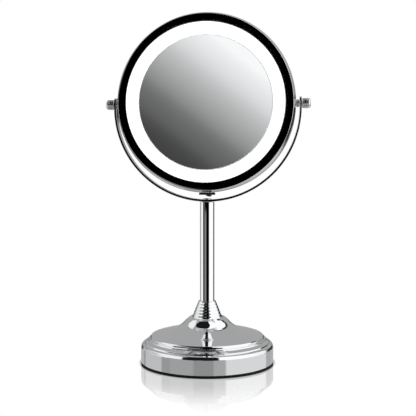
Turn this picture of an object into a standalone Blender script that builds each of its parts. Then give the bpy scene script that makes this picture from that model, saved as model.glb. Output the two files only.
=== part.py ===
"""Lighted vanity mirror: a double-sided round head with a light ring on each face, hung between two thumb
knobs in a U-shaped yoke, on a post with a ribbed collar and a stepped round base.

Metres, +Z up. The origin is the middle of the foot pad's underside, the flat mirror faces -Y, and the
knobs lie along X. A turned piece of the head is drawn as (radius, height) with its height towards -Y.
"""

from math import cos, pi, radians, sin, sqrt

import bmesh
import bpy
from mathutils import Vector

# Driving dimensions
GAP = 0.0003  # kept between pieces that touch
RING_STEPS = 32  # sides of a large turned piece
ROD_STEPS = 16  # sides of a small turned piece

PIVOT_Z = 0.287  # tilt axis above the table
HEAD_R = 0.0977  # widest radius of the head
HALF_THICK = 0.0234  # from the tilt axis to the crown of either bezel
BAND_HALF = 0.0145  # half the width of the band between the bezels
BAND_WALL = 0.0015
LIGHT_R = 0.0858  # outer radius of the lit ring that shows
DIFFUSER_R = 0.0910
DIFFUSER_THICK = 0.0020
DIFFUSER_FRONT = HALF_THICK - 0.0023
GLASS_R = 0.0730  # mirror glass
GLASS_THICK = 0.0030
GLASS_FRONT = 0.0212  # height of both glasses' edges from the tilt axis
MAGNIFIER_RADIUS = 0.600  # sphere radius of the concave glass
CHASSIS_THICK = 0.0020
CHASSIS_LIP_R = 0.0765  # outside of the lip under either diffuser
FLANGE_FRONT = -0.0012  # faces of the chassis flange that carries the light boards
FLANGE_BACK = -0.0030
BOARD_IN_R = 0.0765
BOARD_OUT_R = 0.0885
BOARD_THICK = 0.0014
LED_COUNT = 12  # on each board
LED_SIZE = (0.0028, 0.0035, 0.0014)

YOKE_R = 0.1040  # outside of the bow
YOKE_THICK = 0.0025
YOKE_DEPTH = 0.0095
YOKE_DROP = 0.0040  # the bow's centre lies this far below the tilt axis
YOKE_TIP = 0.0074  # the arms end this far above the tilt axis

POST_R = 0.0080
POST_WALL = 0.0012
ROD_R = 0.0030  # tie rod through the post
ROD_PLAY = 0.0004
COLLAR_TOP_R = 0.0098
COLLAR_FOOT_R = 0.0172
COLLAR_Z = 0.0483
COLLAR_TOP_Z = 0.0684
COLLAR_RIBS = 6

BASE_R = 0.0739
SHELL_WALL = 0.0013
PAD_R = 0.0737
PAD_THICK = 0.0015

KNOB_R = 0.0056
KNOB_LENGTH = 0.0097
STUD_R = 0.0025
STUD_PLAY = 0.0001  # radial running clearance on the studs

CELL_R = 0.00725  # size AA
CELL_LENGTH = 0.0505
CELL_PITCH = 0.0158
CELL_COUNT = 4
HOLDER_FLOOR = 0.0015
HOLDER_DEPTH = 0.0160
BAY_WIDTH = 0.0150
BAY_HALF_LENGTH = 0.0290
PLATE_THICK = 0.0006
WIRE_R = 0.0006

SWITCH_TRAVEL = 0.0032
SWITCH_SCREW_X = 0.0068
SWITCH_SLOT = (0.0068, 0.0026)  # opening in the plate for the slider's stem
SWITCH_PLATE_THICK = 0.0024

# Levels that follow from them
YOKE_CENTRE_Z = PIVOT_Z - YOKE_DROP
YOKE_BOTTOM_Z = YOKE_CENTRE_Z - YOKE_R
POST_TOP_Z = YOKE_BOTTOM_Z - GAP
SHELL_BOTTOM_Z = PAD_THICK + GAP
BAND_IN_R = HEAD_R - BAND_WALL
ARM_IN_X = YOKE_R - YOKE_THICK
GLASS_BACK = GLASS_FRONT - GLASS_THICK
DIFFUSER_BACK = DIFFUSER_FRONT - DIFFUSER_THICK
HOLDER_FRONT_Y = -(GLASS_BACK - 3 * GAP - CHASSIS_THICK)
CELL_Y = HOLDER_FRONT_Y + HOLDER_FLOOR + GAP + CELL_R
SWITCH_BODY_Z = PIVOT_Z - BAND_IN_R + 0.0012  # underside of the switch body
SWITCH_PLATE_Z = PIVOT_Z - HEAD_R - GAP  # top of the switch plate

FRAMES = {
    "stand": Vector((0, 0, 0)),
    "yoke_axis": Vector((0, 0, POST_TOP_Z)),
    "tilt_axis": Vector((0, 0, PIVOT_Z)),
    "rear_cover_slide": Vector((0, HALF_THICK, PIVOT_Z)),
    "switch_slide": Vector((0, 0, PIVOT_Z - HEAD_R)),
    "left_knob_axis": Vector((-YOKE_R, 0, PIVOT_Z)),
    "right_knob_axis": Vector((YOKE_R, 0, PIVOT_Z)),
}
UPRIGHT = (0, 0, 0)
FACING_FRONT = (pi / 2, 0, 0)  # local +Z becomes world -Y
FACING_BACK = (-pi / 2, 0, 0)
FACING_RIGHT = (0, pi / 2, 0)
FACING_LEFT = (0, -pi / 2, 0)
FACING_DOWN = (pi, 0, 0)

MATERIALS = {
    "chrome": ((0.86, 0.87, 0.88), 0.06, 1.0),
    "zinc_steel": ((0.62, 0.63, 0.64), 0.35, 1.0),
    "cast_iron": ((0.12, 0.12, 0.12), 0.75, 0.6),
    "black_rubber": ((0.015, 0.015, 0.015), 0.8, 0.0),
    "black_plastic": ((0.02, 0.02, 0.02), 0.4, 0.0),
    "white_plastic": ((0.88, 0.88, 0.86), 0.5, 0.0),
    "frosted_acrylic": ((0.97, 0.97, 0.96), 0.35, 0.0),
    "mirror_glass": ((0.80, 0.82, 0.83), 0.02, 1.0),
    "circuit_board": ((0.90, 0.91, 0.90), 0.5, 0.0),
    "battery_jacket": ((0.10, 0.28, 0.16), 0.35, 0.2),
    "red_wire": ((0.6, 0.03, 0.02), 0.45, 0.0),
    "black_wire": ((0.02, 0.02, 0.02), 0.45, 0.0),
}


def clear_scene():
    for obj in list(bpy.data.objects):
        bpy.data.objects.remove(obj, do_unlink=True)


def new_collection(name):
    collection = bpy.data.collections.new(name)
    bpy.context.scene.collection.children.link(collection)
    return collection


def material(name):
    found = bpy.data.materials.get(name)
    if found:
        return found
    colour, roughness, metallic = MATERIALS[name]
    made = bpy.data.materials.new(name)
    made.use_nodes = True
    shader = made.node_tree.nodes["Principled BSDF"]
    shader.inputs["Base Color"].default_value = (*colour, 1.0)
    shader.inputs["Roughness"].default_value = roughness
    shader.inputs["Metallic"].default_value = metallic
    return made


def make_empties():
    """One empty at the origin of every body, in a chain that follows the joints."""
    parents = {
        "yoke_axis": "stand",
        "tilt_axis": "yoke_axis",
        "rear_cover_slide": "tilt_axis",
        "switch_slide": "tilt_axis",
        "left_knob_axis": "tilt_axis",
        "right_knob_axis": "tilt_axis",
    }
    for name, origin in FRAMES.items():
        empty = bpy.data.objects.new(name, None)
        empty.empty_display_size = 0.02
        empty.location = origin
        PARTS.objects.link(empty)
        if name in parents:
            empty.parent = bpy.data.objects[parents[name]]
            empty.location = origin - FRAMES[parents[name]]


def place(obj, frame, at, turn, look):
    """Hang an object on a body's empty with its own origin at a world point, and give it its material."""
    PARTS.objects.link(obj)
    obj.parent = bpy.data.objects[frame]
    obj.location = Vector(at) - FRAMES[frame]
    obj.rotation_euler = turn
    obj.data.materials.append(material(look))
    return obj


def mesh_object(name, build):
    """An object whose mesh is filled by build(bm)."""
    mesh = bpy.data.meshes.new(name)
    bm = bmesh.new()
    build(bm)
    bm.to_mesh(mesh)
    bm.free()
    return bpy.data.objects.new(name, mesh)


def turned(name, profile, steps=RING_STEPS, closed=False):
    """A Screw object from (radius, height) points that run down its outer side; closed for a ring."""
    mesh = bpy.data.meshes.new(name)
    points = [(r, 0, h) for r, h in profile]
    edges = [(i, i + 1) for i in range(len(points) - 1)]
    if closed:
        edges.append((len(points) - 1, 0))
    mesh.from_pydata(points, edges, [])
    obj = bpy.data.objects.new(name, mesh)
    screw = obj.modifiers.new("turn", "SCREW")
    screw.axis = "Z"
    screw.angle = 2 * pi
    screw.steps = steps
    screw.render_steps = steps
    screw.use_merge_vertices = True
    screw.merge_threshold = 0.00001
    screw.use_smooth_shade = True
    return obj


def box(name, size, bevel=0.0):
    def build(bm):
        bmesh.ops.create_cube(bm, size=1.0)
        bmesh.ops.scale(bm, vec=size, verts=bm.verts)

    obj = mesh_object(name, build)
    if bevel:
        rounding = obj.modifiers.new("edges", "BEVEL")
        rounding.width = bevel
        rounding.segments = 1
    return obj


def rod_mesh(name, radius, length, steps):
    def build(bm):
        bmesh.ops.create_cone(
            bm, cap_ends=True, segments=steps, radius1=radius, radius2=radius, depth=length
        )

    return mesh_object(name, build)


def as_cutter(obj, at, turn=UPRIGHT):
    CUTTERS.objects.link(obj)
    obj.location = at
    obj.rotation_euler = turn
    obj.hide_render = True
    obj.display_type = "WIRE"
    return obj


def cut(obj, cutter):
    boolean = obj.modifiers.new(cutter.name, "BOOLEAN")
    boolean.operation = "DIFFERENCE"
    boolean.solver = "EXACT"
    boolean.object = cutter


def join(obj, added):
    boolean = obj.modifiers.new(added.name, "BOOLEAN")
    boolean.operation = "UNION"
    boolean.solver = "EXACT"
    boolean.object = added


def arc(centre, radius, start, end, count):
    """Points on an arc in a (radius, height) profile, angles in degrees from the outward direction."""
    points = []
    for i in range(count + 1):
        angle = radians(start + (end - start) * i / count)
        points.append((centre[0] + radius * cos(angle), centre[1] + radius * sin(angle)))
    return points


def smooth_line(through, count):
    """Points of a Catmull-Rom curve through the given points, count to a span."""
    ends = [2 * through[0] - through[1]] + list(through) + [2 * through[-1] - through[-2]]
    points = []
    for a, b, c, d in zip(ends, ends[1:], ends[2:], ends[3:]):
        for i in range(count):
            t = i / count
            bend = (2 * a - 5 * b + 4 * c - d) * t**2
            twist = (3 * b - a - 3 * c + d) * t**3
            points.append((2 * b + (c - a) * t + bend + twist) / 2)
    return points + [through[-1]]


def wire(name, points, radius, detail):
    """A tube along world points."""
    curve = bpy.data.curves.new(name, "CURVE")
    curve.dimensions = "3D"
    curve.bevel_depth = radius
    curve.bevel_resolution = detail
    curve.use_fill_caps = True
    spline = curve.splines.new("POLY")
    spline.points.add(len(points) - 1)
    for point, co in zip(spline.points, points):
        point.co = (*co, 1.0)
    return bpy.data.objects.new(name, curve)


# Stand: pad, shell, weight, tie rod, collar, post, plug, screw


def make_foot_pad():
    profile = [(0, PAD_THICK), (PAD_R, PAD_THICK), (PAD_R, 0), (0, 0)]
    place(turned("foot_pad", profile), "stand", (0, 0, 0), UPRIGHT, "black_rubber")


def shell_outside():
    """The base's outer side, from the seat under the collar over the raised rim and the steps to the hem."""
    seat_r = COLLAR_FOOT_R + 0.0006
    rim = [(seat_r, COLLAR_Z - GAP), (seat_r, 0.0503), (0.0184, 0.0507), (0.0192, 0.0507), (0.0199, 0.0503)]
    flare = [
        (0.0213, 0.0491),
        (0.0239, 0.0467),
        (0.0263, 0.0443),
        (0.0286, 0.0422),
        (0.0315, 0.0401),
        (0.0350, 0.0382),
    ]
    dome = [(0.0400, 0.0362), (0.0450, 0.0347), (0.0500, 0.0335), (0.0550, 0.0323), (0.0600, 0.0309)]
    dome_edge = [(0.0619, 0.0303), (0.0628, 0.0297), (0.0633, 0.0289), (0.0635, 0.0276)]
    first_step = [(0.0649, 0.0273), (0.0654, 0.0269), (0.0656, 0.0258)]
    slope = [(0.0690, 0.0238), (0.0695, 0.0234), (0.0697, 0.0224)]
    shoulder = [(0.0722, 0.0214), (0.0730, 0.0208), (0.0736, 0.0198), (BASE_R, 0.0186)]
    return rim + flare + dome + dome_edge + first_step + slope + shoulder + [(BASE_R, SHELL_BOTTOM_Z)]


def make_base_shell():
    bore = ROD_R + ROD_PLAY
    seat_z = COLLAR_Z - GAP
    inside = [
        (BASE_R - SHELL_WALL, SHELL_BOTTOM_Z),
        (BASE_R - SHELL_WALL, 0.0182),
        (0.0680, 0.0212),
        (0.0640, 0.0244),
        (0.0618, 0.0276),
        (0.0500, 0.0318),
        (0.0400, 0.0345),
        (0.0345, 0.0366),
        (0.0290, 0.0398),
        (0.0196, seat_z - SHELL_WALL),
        (bore, seat_z - SHELL_WALL),
        (bore, seat_z),
    ]
    shell = turned("base_shell", shell_outside() + inside, closed=True)
    place(shell, "stand", (0, 0, 0), UPRIGHT, "chrome")


def make_base_weight():
    """An iron disc with a clearance hole for the rod and a recess below for the nut."""
    top, bottom = 0.0160, SHELL_BOTTOM_Z
    recess_r, recess_top = 0.0120, 0.0095
    bore = ROD_R + ROD_PLAY
    edge = BASE_R - SHELL_WALL - 0.0004
    profile = [
        (bore, top),
        (edge - 0.0020, top),
        (edge, top - 0.0020),
        (edge, bottom),
        (recess_r, bottom),
        (recess_r, recess_top),
        (bore, recess_top),
    ]
    weight = turned("base_weight", profile, closed=True)
    place(weight, "stand", (0, 0, 0), UPRIGHT, "cast_iron")


def make_base_fastening():
    """A washer and a hexagon nut in the weight's recess, on the foot of the tie rod."""
    washer_r, washer_top, washer_thick = 0.0090, 0.0092, 0.0015
    washer_bottom = washer_top - washer_thick
    bore = ROD_R + ROD_PLAY
    ring = [(bore, washer_top), (washer_r, washer_top), (washer_r, washer_bottom), (bore, washer_bottom)]
    washer = turned("base_washer", ring, ROD_STEPS, closed=True)
    place(washer, "stand", (0, 0, 0), UPRIGHT, "zinc_steel")

    nut_r, nut_height = 0.0057, 0.0042
    nut_middle = washer_bottom - GAP - nut_height / 2
    nut = rod_mesh("base_nut", nut_r, nut_height, 6)
    place(nut, "stand", (0, 0, nut_middle), UPRIGHT, "zinc_steel")
    hole = rod_mesh("nut_hole", ROD_R + GAP, nut_height * 2, ROD_STEPS)
    cut(nut, as_cutter(hole, (0, 0, nut_middle)))

    rod_bottom, rod_top = PAD_THICK + 0.0008, POST_TOP_Z - 0.0195
    chamfer = 0.0006
    rod = [
        (0, rod_top),
        (ROD_R - chamfer, rod_top),
        (ROD_R, rod_top - chamfer),
        (ROD_R, rod_bottom + chamfer),
        (ROD_R - chamfer, rod_bottom),
        (0, rod_bottom),
    ]
    place(turned("tie_rod", rod, ROD_STEPS), "stand", (0, 0, 0), UPRIGHT, "zinc_steel")


def make_collar():
    """A cone of rounded ribs under a plain lip; the post stands in its counterbore."""
    lip = 0.0010
    seat_z = COLLAR_Z + 0.0065
    post_bore, rod_bore = POST_R + GAP, ROD_R + ROD_PLAY
    groove = 0.0006
    profile = [(COLLAR_TOP_R, COLLAR_TOP_Z), (COLLAR_TOP_R, COLLAR_TOP_Z - lip)]
    pitch = (COLLAR_TOP_Z - lip - COLLAR_Z) / COLLAR_RIBS
    for i in range(COLLAR_RIBS):
        share = (i + 0.5) / COLLAR_RIBS
        radius = COLLAR_TOP_R + (COLLAR_FOOT_R - COLLAR_TOP_R) * share * (1.15 - 0.15 * share)
        top = COLLAR_TOP_Z - lip - i * pitch
        profile.append((radius - groove, top - 0.10 * pitch))
        profile.append((radius + groove * 0.4, top - 0.45 * pitch))
        profile.append((radius + groove * 0.4, top - 0.80 * pitch))
    profile += [(COLLAR_FOOT_R, COLLAR_Z + 0.0006), (COLLAR_FOOT_R, COLLAR_Z)]
    profile += [(rod_bore, COLLAR_Z), (rod_bore, seat_z), (post_bore, seat_z), (post_bore, COLLAR_TOP_Z)]
    place(turned("collar", profile, 20, closed=True), "stand", (0, 0, 0), UPRIGHT, "chrome")


def make_post():
    """The tube, and the plug in its top that the tie rod and the yoke's screw both thread into."""
    bottom = COLLAR_Z + 0.0065 + GAP
    inner = POST_R - POST_WALL
    wall = [(POST_R, POST_TOP_Z), (POST_R, bottom), (inner, bottom), (inner, POST_TOP_Z)]
    tube = turned("post_tube", wall, 24, closed=True)
    place(tube, "stand", (0, 0, 0), UPRIGHT, "chrome")

    plug_r, plug_bottom = inner - GAP, POST_TOP_Z - 0.0290
    screw_bore = 0.0021
    screw_floor = POST_TOP_Z - 0.0125
    rod_bore, rod_seat = ROD_R + 0.0002, POST_TOP_Z - 0.0190
    profile = [
        (0, screw_floor),
        (screw_bore, screw_floor),
        (screw_bore, POST_TOP_Z),
        (plug_r, POST_TOP_Z),
        (plug_r, plug_bottom),
        (rod_bore, plug_bottom),
        (rod_bore, rod_seat),
        (0, rod_seat),
    ]
    plug = turned("post_plug", profile, ROD_STEPS)
    place(plug, "stand", (0, 0, 0), UPRIGHT, "zinc_steel")
    make_yoke_screw(screw_floor)


def make_yoke_screw(hole_floor):
    """A low cross-slotted screw that clamps the bow to the post and lets it swivel."""
    head_r, head_height, shaft_r = 0.0046, 0.0012, 0.0020
    head_bottom = YOKE_BOTTOM_Z + YOKE_THICK + GAP
    head_top = head_bottom + head_height
    screw = [
        (0, head_top),
        (head_r - 0.0012, head_top),
        (head_r, head_bottom + 0.0005),
        (head_r, head_bottom),
        (shaft_r, head_bottom),
        (shaft_r, hole_floor + 0.0010),
        (0, hole_floor + 0.0010),
    ]
    fixing = turned("yoke_screw", screw, ROD_STEPS)
    place(fixing, "stand", (0, 0, 0), UPRIGHT, "zinc_steel")
    for number, turn in enumerate((0, pi / 2)):
        slot = box(f"screw_slot_{number}", (0.0044, 0.0008, 0.0012))
        cut(fixing, as_cutter(slot, (0, 0, head_top), (0, 0, turn)))


# Yoke


def make_yoke():
    """A flat bar bent to a bow with short straight arms whose ends are half round."""
    middle_r = YOKE_R - YOKE_THICK / 2
    arm = YOKE_DROP + YOKE_TIP
    half = YOKE_DEPTH / 2
    bow_steps, end_steps = 36, 4
    path = []
    for i in range(end_steps):
        ahead = half * (1 - sin(pi / 2 * i / end_steps))
        path.append((-middle_r, arm - half + ahead, sqrt(max(half**2 - ahead**2, (half * 0.2) ** 2))))
    path.append((-middle_r, arm - half, half))
    for i in range(bow_steps + 1):
        angle = pi + pi * i / bow_steps
        path.append((middle_r * cos(angle), middle_r * sin(angle), half))
    path += [(-x, z, w) for x, z, w in path[:end_steps + 1]][::-1]

    def build(bm):
        rows = [(bm.verts.new((x, -w, z)), bm.verts.new((x, w, z))) for x, z, w in path]
        for (a, b), (c, d) in zip(rows, rows[1:]):
            bm.faces.new((a, b, d, c))

    yoke = mesh_object("yoke", build)
    place(yoke, "yoke_axis", (0, 0, YOKE_CENTRE_Z), UPRIGHT, "chrome")
    solidify = yoke.modifiers.new("thickness", "SOLIDIFY")
    solidify.thickness = YOKE_THICK
    solidify.offset = 0.0
    solidify.use_even_offset = True
    for side in (-1, 1):
        hole = rod_mesh(f"arm_hole_{side}", STUD_R + STUD_PLAY, YOKE_THICK * 3, 24)
        cut(yoke, as_cutter(hole, (side * middle_r, 0, PIVOT_Z), FACING_RIGHT))
    screw_clearance = 0.0022
    hole = rod_mesh("foot_hole", screw_clearance, YOKE_THICK * 3, 24)
    cut(yoke, as_cutter(hole, (0, 0, YOKE_BOTTOM_Z + YOKE_THICK / 2)))


# Head: band, bezels, diffusers, glasses, chassis, light boards


def bezel_profile():
    """A rolled chrome ring: a nearly flat face, a rounded outer edge, and a skirt that enters the band."""
    crown = HALF_THICK
    skirt_r = BAND_IN_R - GAP
    shoulder = BAND_HALF + GAP
    outer = [
        (LIGHT_R, crown - 0.0012),
        (LIGHT_R + 0.0012, crown - 0.0001),
        (0.0945, crown - 0.0004),
        (0.0965, crown - 0.0026),
        (HEAD_R, shoulder),
        (skirt_r, shoulder),
        (skirt_r, 0.0100),
    ]
    inner = [
        (skirt_r - 0.0012, 0.0100),
        (0.0945, crown - 0.0045),
        (0.0930, crown - 0.0018),
        (LIGHT_R, crown - 0.0020),
    ]
    return outer + inner


def diffuser_profile():
    inner = GLASS_R + 0.0004
    top, bottom = DIFFUSER_FRONT, DIFFUSER_BACK
    return [(inner, top), (DIFFUSER_R, top), (DIFFUSER_R, bottom), (inner, bottom)]


def make_band():
    """The middle band, pierced for the studs, the switch screws and the switch."""
    top, bottom = BAND_HALF, -BAND_HALF
    ring = [(HEAD_R, top), (HEAD_R, bottom), (BAND_IN_R, bottom), (BAND_IN_R, top)]
    band = turned("head_band", ring, closed=True)
    place(band, "tilt_axis", (0, 0, PIVOT_Z), FACING_FRONT, "chrome")
    band_x = HEAD_R - BAND_WALL / 2
    for side in (-1, 1):
        hole = rod_mesh(f"band_hole_{side}", STUD_R + GAP, BAND_WALL * 4, 24)
        cut(band, as_cutter(hole, (side * band_x, 0, PIVOT_Z), FACING_RIGHT))
        screw_hole = rod_mesh(f"band_screw_hole_{side}", 0.0011, BAND_WALL * 4, 12)
        cut(band, as_cutter(screw_hole, (side * SWITCH_SCREW_X, 0, PIVOT_Z - band_x)))
    slot = box("band_slot", (0.0084, 0.0034, BAND_WALL * 4))
    cut(band, as_cutter(slot, (0, 0, PIVOT_Z - band_x)))


def make_bezel(name, frame, turn):
    place(turned(name, bezel_profile(), closed=True), frame, (0, 0, PIVOT_Z), turn, "chrome")


def make_diffuser(name, frame, turn):
    ring = turned(name, diffuser_profile(), closed=True)
    place(ring, frame, (0, 0, PIVOT_Z), turn, "frosted_acrylic")


def make_front_mirror():
    bevel = 0.0005
    profile = [
        (0, GLASS_FRONT),
        (GLASS_R - bevel, GLASS_FRONT),
        (GLASS_R, GLASS_FRONT - bevel),
        (GLASS_R, GLASS_BACK),
        (0, GLASS_BACK),
    ]
    disc = turned("front_mirror", profile)
    place(disc, "tilt_axis", (0, 0, PIVOT_Z), FACING_FRONT, "mirror_glass")


def dished(height, radius, reach, count):
    """Points from the axis outwards on a bowl whose rim is at the given height."""
    deepest = radius - sqrt(radius**2 - reach**2)
    points = []
    for i in range(count + 1):
        r = reach * i / count
        points.append((r, height - deepest + radius - sqrt(radius**2 - r**2)))
    return points


def make_rear_mirror():
    """The magnifying glass, whose front and back both follow the bowl."""
    bevel = 0.0005
    face = dished(GLASS_FRONT, MAGNIFIER_RADIUS, GLASS_R - bevel, 4)
    back = dished(GLASS_BACK, MAGNIFIER_RADIUS, GLASS_R, 3)[::-1]
    disc = turned("rear_mirror", face + [(GLASS_R, GLASS_FRONT - bevel)] + back)
    place(disc, "rear_cover_slide", (0, 0, PIVOT_Z), FACING_BACK, "mirror_glass")


def make_chassis():
    """A cup behind the flat glass, with a lip for the diffuser and a flange for both light boards."""
    face = GLASS_BACK - GAP
    cup_r, cup_end = 0.0720, -0.0085
    cup_in_r = cup_r - 0.0018
    step_r = GLASS_R + 0.0006
    lip_top = DIFFUSER_BACK - GAP
    flange_r = BAND_IN_R - GAP
    profile = [
        (0, face),
        (step_r, face),
        (step_r, lip_top),
        (CHASSIS_LIP_R, lip_top),
        (CHASSIS_LIP_R, lip_top - CHASSIS_THICK),
        (cup_r, lip_top - CHASSIS_THICK - 0.0010),
        (cup_r, FLANGE_FRONT),
        (flange_r, FLANGE_FRONT),
        (flange_r, FLANGE_BACK),
        (cup_r, FLANGE_BACK),
        (cup_r, cup_end),
        (cup_in_r, cup_end),
        (cup_in_r, face - CHASSIS_THICK),
        (0, face - CHASSIS_THICK),
    ]
    cup = turned("inner_chassis", profile)
    place(cup, "tilt_axis", (0, 0, PIVOT_Z), FACING_FRONT, "white_plastic")

    notch_in = 0.0896
    depth = BAND_IN_R + 0.0020 - notch_in
    middle = notch_in + depth / 2
    flange_y = -(FLANGE_FRONT + FLANGE_BACK) / 2
    for side in (-1, 1):
        notch = box(f"stud_notch_{side}", (depth, 0.0080, 0.0130))
        cut(cup, as_cutter(notch, (side * middle, flange_y, PIVOT_Z)))
    notch = box("switch_notch", (0.0180, 0.0080, depth))
    cut(cup, as_cutter(notch, (0, flange_y, PIVOT_Z - middle)))
    wire_gate = box("wire_gate", (0.0220, 0.0060, 0.0100))
    cut(cup, as_cutter(wire_gate, (0, 0.0086, PIVOT_Z - cup_r)))


def make_rear_carrier():
    """A dished plate behind the concave glass; its lip holds the diffuser."""
    back = GLASS_BACK - GAP
    thick, reach = 0.0015, 0.0725
    step_r = GLASS_R + 0.0006
    lip_top = DIFFUSER_BACK - GAP
    face = dished(back, MAGNIFIER_RADIUS, reach, 3)
    under = dished(back - thick, MAGNIFIER_RADIUS, reach, 3)[::-1]
    lip = [
        (step_r, back),
        (step_r, lip_top),
        (CHASSIS_LIP_R, lip_top),
        (CHASSIS_LIP_R, lip_top - thick),
    ]
    plate = turned("rear_carrier", face + lip + under)
    place(plate, "rear_cover_slide", (0, 0, PIVOT_Z), FACING_BACK, "white_plastic")


def make_light_board(name, bottom, turn):
    """A ring board with its lamps soldered on its top side; bottom is its height from the tilt axis."""
    top = bottom + BOARD_THICK
    ring = [(BOARD_OUT_R, top), (BOARD_OUT_R, bottom), (BOARD_IN_R, bottom), (BOARD_IN_R, top)]
    board = turned(name, ring, closed=True)
    place(board, "tilt_axis", (0, 0, PIVOT_Z), turn, "circuit_board")
    middle = (BOARD_IN_R + BOARD_OUT_R) / 2
    width, length, height = LED_SIZE

    def build(bm):
        for i in range(LED_COUNT):
            angle = 2 * pi * (i + 0.5) / LED_COUNT
            centre = (middle * cos(angle), middle * sin(angle), top)
            made = bmesh.ops.create_cube(bm, size=1.0)["verts"]
            bmesh.ops.scale(bm, vec=(width, length, 2 * height), verts=made)
            bmesh.ops.translate(bm, vec=centre, verts=made)

    lamps = as_cutter(mesh_object(f"{name}_lamps", build), (0, 0, PIVOT_Z), turn)
    join(board, lamps)


# Power: holder, cells, contacts, wires


def cell_x(index):
    return (index - (CELL_COUNT - 1) / 2) * CELL_PITCH


def make_battery_holder():
    width = CELL_COUNT * CELL_PITCH + 0.0024
    height = 2 * BAY_HALF_LENGTH + 0.0030
    middle_y = HOLDER_FRONT_Y + HOLDER_DEPTH / 2
    tray = box("battery_holder", (width, HOLDER_DEPTH, height))
    place(tray, "tilt_axis", (0, middle_y, PIVOT_Z), UPRIGHT, "black_plastic")
    for i in range(CELL_COUNT):
        bay = box(f"bay_{i + 1}", (BAY_WIDTH, HOLDER_DEPTH, 2 * BAY_HALF_LENGTH))
        cut(tray, as_cutter(bay, (cell_x(i), middle_y + HOLDER_FLOOR, PIVOT_Z)))


def make_cell(index):
    """A cell with its button at the top on odd numbers and at the bottom on even ones."""
    up = 1 if index % 2 == 0 else -1
    x = cell_x(index)
    end = BAY_HALF_LENGTH - PLATE_THICK - 2 * GAP
    button_r, button_height = 0.0027, 0.0012
    bottom = end - CELL_LENGTH
    profile = [
        (0, end),
        (button_r, end),
        (button_r, end - button_height),
        (CELL_R - 0.0006, end - button_height),
        (CELL_R, end - button_height - 0.0006),
        (CELL_R, bottom),
        (0, bottom),
    ]
    turn = UPRIGHT if up > 0 else FACING_DOWN
    cell = turned(f"battery_{index + 1}", profile, 16)
    place(cell, "tilt_axis", (x, CELL_Y, PIVOT_Z), turn, "battery_jacket")

    plate = box(f"contact_plate_{index + 1}", (0.0130, 0.0120, PLATE_THICK))
    plate_z = PIVOT_Z + up * (BAY_HALF_LENGTH - PLATE_THICK / 2 - GAP / 2)
    place(plate, "tilt_axis", (x, CELL_Y, plate_z), UPRIGHT, "zinc_steel")
    make_spring(index, x, up, PIVOT_Z + up * bottom)


def make_spring(index, x, up, cell_end_z):
    """A conical coil between the bay's end wall and the flat end of the cell."""
    wire_r, turns, per_turn = 0.00035, 3, 6
    wide, narrow = 0.0048, 0.0026
    wall_z = PIVOT_Z - up * BAY_HALF_LENGTH
    start = wall_z + up * (wire_r + GAP)
    end = cell_end_z - up * (wire_r + GAP)
    points = []
    for i in range(turns * per_turn + 1):
        share = i / (turns * per_turn)
        radius = wide + (narrow - wide) * share
        angle = 2 * pi * i / per_turn
        height = start + (end - start) * share
        points.append(Vector((x + radius * cos(angle), CELL_Y + radius * sin(angle), height)))
    centred = [point - FRAMES["tilt_axis"] for point in points]
    spring = wire(f"contact_spring_{index + 1}", centred, wire_r, 0)
    place(spring, "tilt_axis", FRAMES["tilt_axis"], UPRIGHT, "zinc_steel")


def make_lead(name, route, look):
    """A wire whose route is given from the tilt axis."""
    points = smooth_line([Vector(p) for p in route], 3)
    place(wire(name, points, WIRE_R, 1), "tilt_axis", FRAMES["tilt_axis"], UPRIGHT, look)


def make_leads():
    """Holder to switch, switch to board, and board back to the holder."""
    holder_z = -BAY_HALF_LENGTH - 0.0015 - GAP
    board_y = -FLANGE_BACK + GAP + BOARD_THICK + 2 * GAP
    switch_y, switch_z = 0.0026 + GAP, -0.0932
    gate_y, gate_z = 0.0086, -0.0720
    red_route = [
        (-0.0160, -0.0020, holder_z),
        (-0.0140, 0.0010, holder_z - 0.0120),
        (-0.0060, gate_y - 0.0003, gate_z + 0.0060),
        (-0.0040, gate_y, gate_z - 0.0060),
        (-0.0035, gate_y - 0.0006, switch_z + 0.0050),
        (-0.0035, switch_y, switch_z),
    ]
    black_route = [
        (0.0160, -0.0020, holder_z),
        (0.0150, 0.0020, holder_z - 0.0120),
        (0.0080, gate_y - 0.0003, gate_z + 0.0060),
        (0.0070, gate_y, gate_z - 0.0020),
        (0.0070, board_y, gate_z - 0.0070),
    ]
    switch_route = [
        (0.0030, switch_y, switch_z),
        (0.0032, gate_y - 0.0011, switch_z + 0.0040),
        (0.0030, gate_y - 0.0004, gate_z - 0.0130),
        (0.0025, board_y, gate_z - 0.0095),
    ]
    make_lead("battery_lead_red", red_route, "red_wire")
    make_lead("battery_lead_black", black_route, "black_wire")
    make_lead("switch_lead", switch_route, "red_wire")


# Switch under the head


def make_switch():
    """The body inside the band, the plate outside it, and the screws that hold the two together."""
    body_height = 0.0046
    body = box("switch_body", (0.0172, 0.0052, body_height), 0.0003)
    place(body, "tilt_axis", (0, 0, SWITCH_BODY_Z + body_height / 2), UPRIGHT, "black_plastic")
    pocket = box("switch_pocket", (*SWITCH_SLOT, 0.0060))
    cut(body, as_cutter(pocket, (0, 0, SWITCH_BODY_Z)))

    plate = box("switch_plate", (0.0174, 0.0072, SWITCH_PLATE_THICK))
    place(plate, "tilt_axis", (0, 0, SWITCH_PLATE_Z - SWITCH_PLATE_THICK / 2), UPRIGHT, "black_plastic")
    slot = box("plate_slot", (*SWITCH_SLOT, SWITCH_PLATE_THICK * 3))
    cut(plate, as_cutter(slot, (0, 0, SWITCH_PLATE_Z)))

    for side, label in ((-1, "left"), (1, "right")):
        make_switch_screw(label, side * SWITCH_SCREW_X, body, plate)
    make_slider()


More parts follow.
